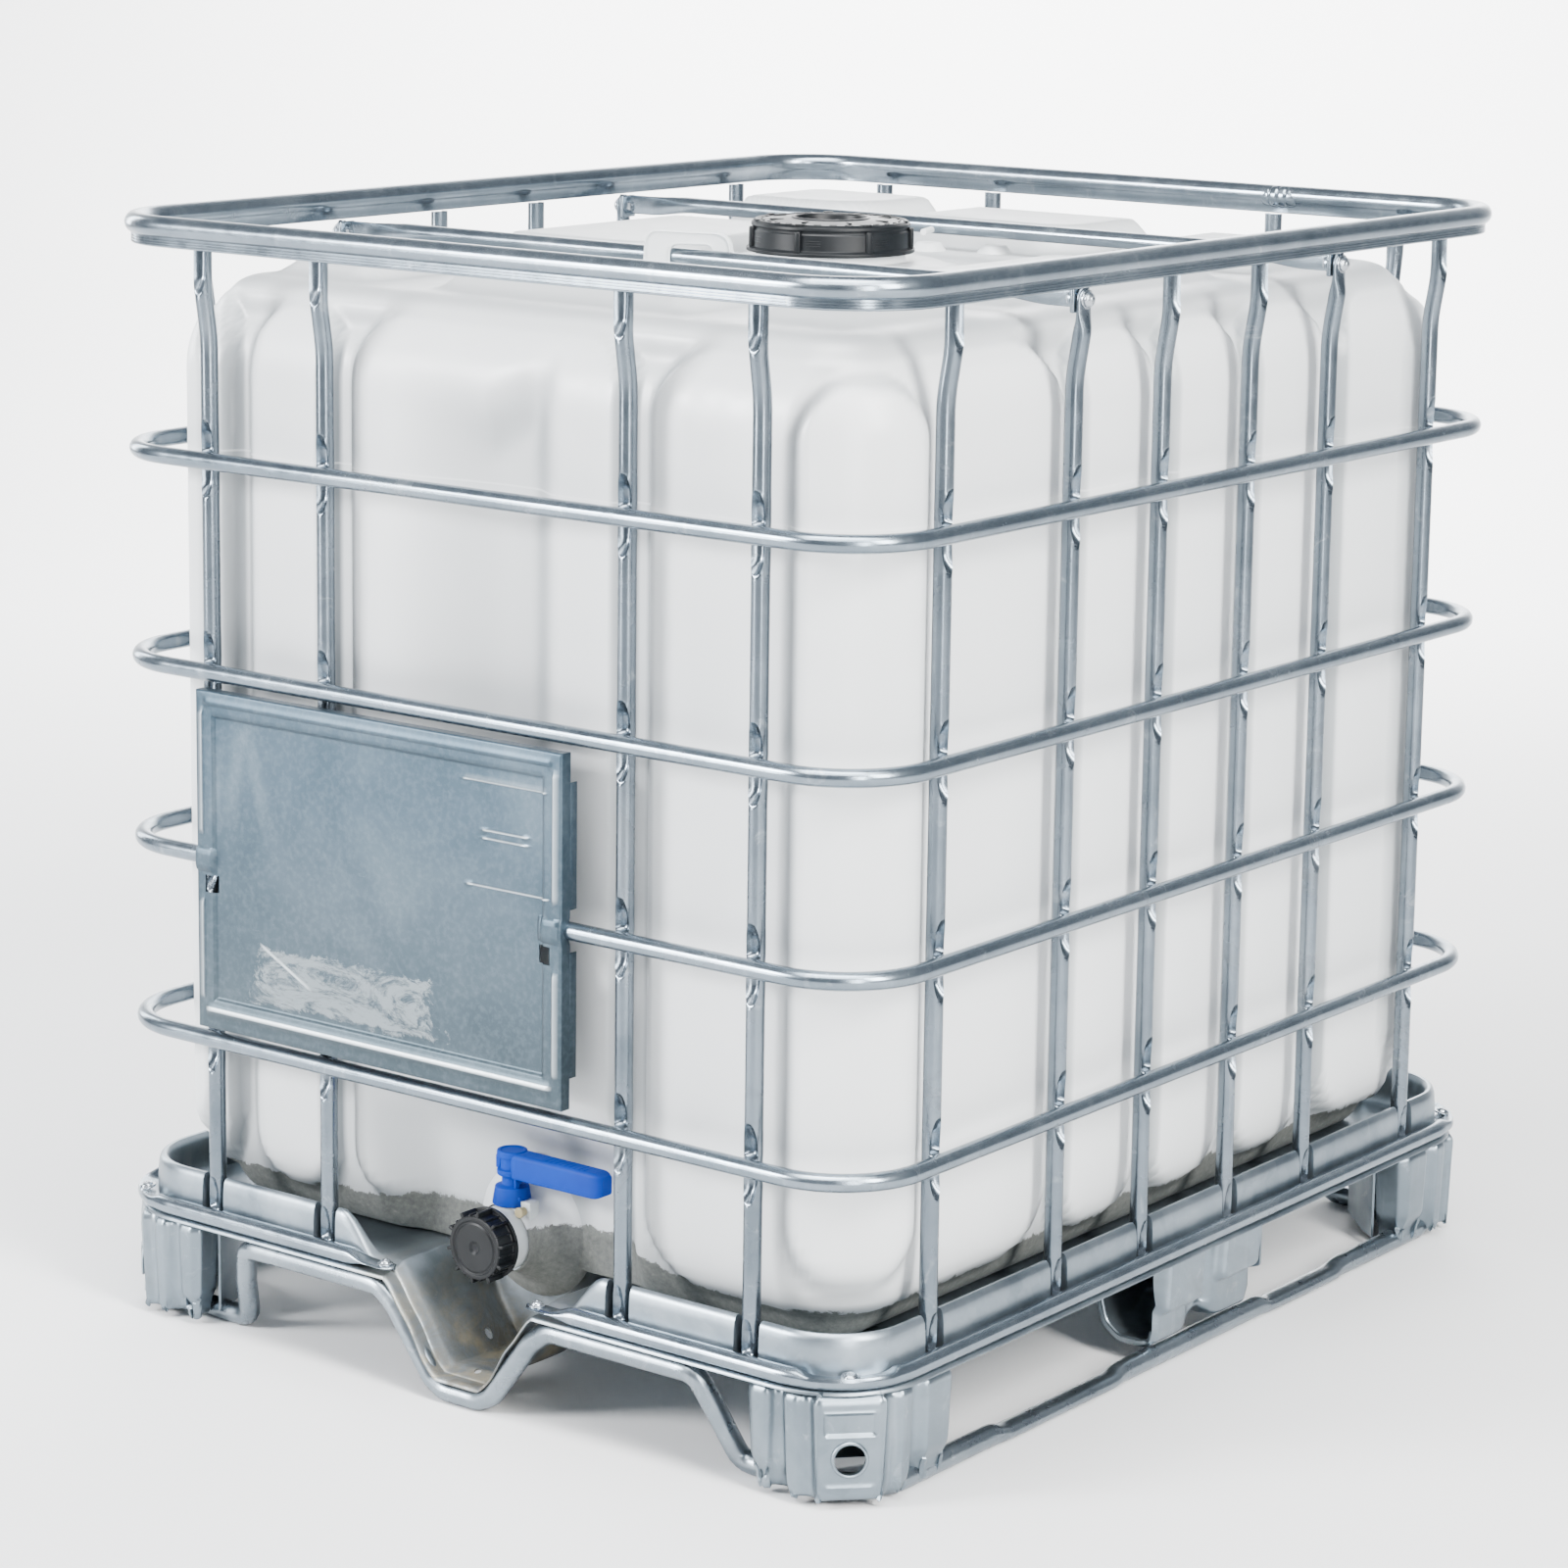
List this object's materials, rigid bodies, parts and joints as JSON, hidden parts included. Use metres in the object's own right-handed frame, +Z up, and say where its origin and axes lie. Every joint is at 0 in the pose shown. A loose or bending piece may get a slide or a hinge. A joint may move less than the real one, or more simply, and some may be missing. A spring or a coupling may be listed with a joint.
{
  "type": "intermediate bulk container",
  "caption": "Caged plastic bulk liquid container on a steel pallet, with a screw-down filling cap and a lever-operated outlet valve behind a screw cap.",
  "frame": {"origin": "middle of the container's footprint, on the floor", "axes": "+Z up; +Y along the length, away from the outlet valve; +X across the width, to the right when facing the valve"},
  "size_m": [1, 1.2, 1.16],
  "materials": {
    "hdpe_natural": "natural translucent blow-moulded polyethylene, smooth and slightly waxy",
    "hdpe_valve": "natural injection-moulded polyethylene",
    "black_plastic": "black injection-moulded plastic, scuffed",
    "gasket_rubber": "soft black sealing ring",
    "blue_plastic": "bright blue injection-moulded plastic",
    "beige_plastic": "small moulded beige plastic pin",
    "galvanised_steel": "weathered galvanised steel with a bluish-grey mottle",
    "plate_steel": "dull galvanised sheet, scratched",
    "bright_zinc": "bright zinc-plated fasteners"
  },
  "bodies": {
    "container": {"tank": "hdpe_natural", "loop_front": "hdpe_natural", "loop_rear": "hdpe_natural", "valve_body": "hdpe_valve", "lever_pin": "beige_plastic", "top_rim": "galvanised_steel", "ring_1": "galvanised_steel", "ring_2": "galvanised_steel", "ring_3": "galvanised_steel", "ring_4": "galvanised_steel", "bottom_ring": "galvanised_steel", "posts_front": "galvanised_steel", "posts_right": "galvanised_steel", "posts_rear": "galvanised_steel", "posts_left": "galvanised_steel", "crossbar_front": "galvanised_steel", "crossbar_rear": "galvanised_steel", "crossbar_bolts": "bright_zinc", "crossbar_washers": "bright_zinc", "crossbar_nuts": "bright_zinc", "label_plate": "plate_steel", "tray": "galvanised_steel", "tray_screws": "bright_zinc", "base_rail": "galvanised_steel", "foot_front_left": "galvanised_steel", "foot_front_right": "galvanised_steel", "foot_rear_left": "galvanised_steel", "foot_rear_right": "galvanised_steel", "foot_mid_left": "galvanised_steel", "foot_mid_right": "galvanised_steel"},
    "fill_seal": {"fill_gasket": "gasket_rubber"},
    "fill_lid": {"fill_cap": "black_plastic"},
    "valve_handle": {"valve_stem": "blue_plastic", "valve_disc": "hdpe_valve", "valve_lever": "blue_plastic"},
    "outlet_seal": {"outlet_gasket": "gasket_rubber"},
    "outlet_lid": {"outlet_cap": "black_plastic"}
  },
  "joints": [
    {"name": "fill_cap_lift", "type": "slide", "parent": "container", "child": "fill_seal", "axis": [0, 0, 1], "range_m": [0, 0.036]},
    {"name": "fill_cap_turn", "type": "hinge", "parent": "fill_seal", "child": "fill_lid", "pos_m": [0, 0, 1.13], "axis": [0, 0, 1], "range_deg": [0, 1080]},
    {"name": "lever_turn", "type": "hinge", "parent": "container", "child": "valve_handle", "pos_m": [0, -0.51, 0.236], "axis": [0, 0, 1], "range_deg": [-90, 0]},
    {"name": "outlet_cap_draw", "type": "slide", "parent": "container", "child": "outlet_seal", "axis": [0, -1, 0], "range_m": [0, 0.018]},
    {"name": "outlet_cap_turn", "type": "hinge", "parent": "outlet_seal", "child": "outlet_lid", "pos_m": [0, -0.555, 0.159], "axis": [0, -1, 0], "range_deg": [0, 1080]}
  ],
  "couplings": [
    {"joint": "fill_cap_lift", "follows": "fill_cap_turn", "m_per_rad": 0.0019097},
    {"joint": "outlet_cap_draw", "follows": "outlet_cap_turn", "m_per_rad": 0.00095483}
  ]
}
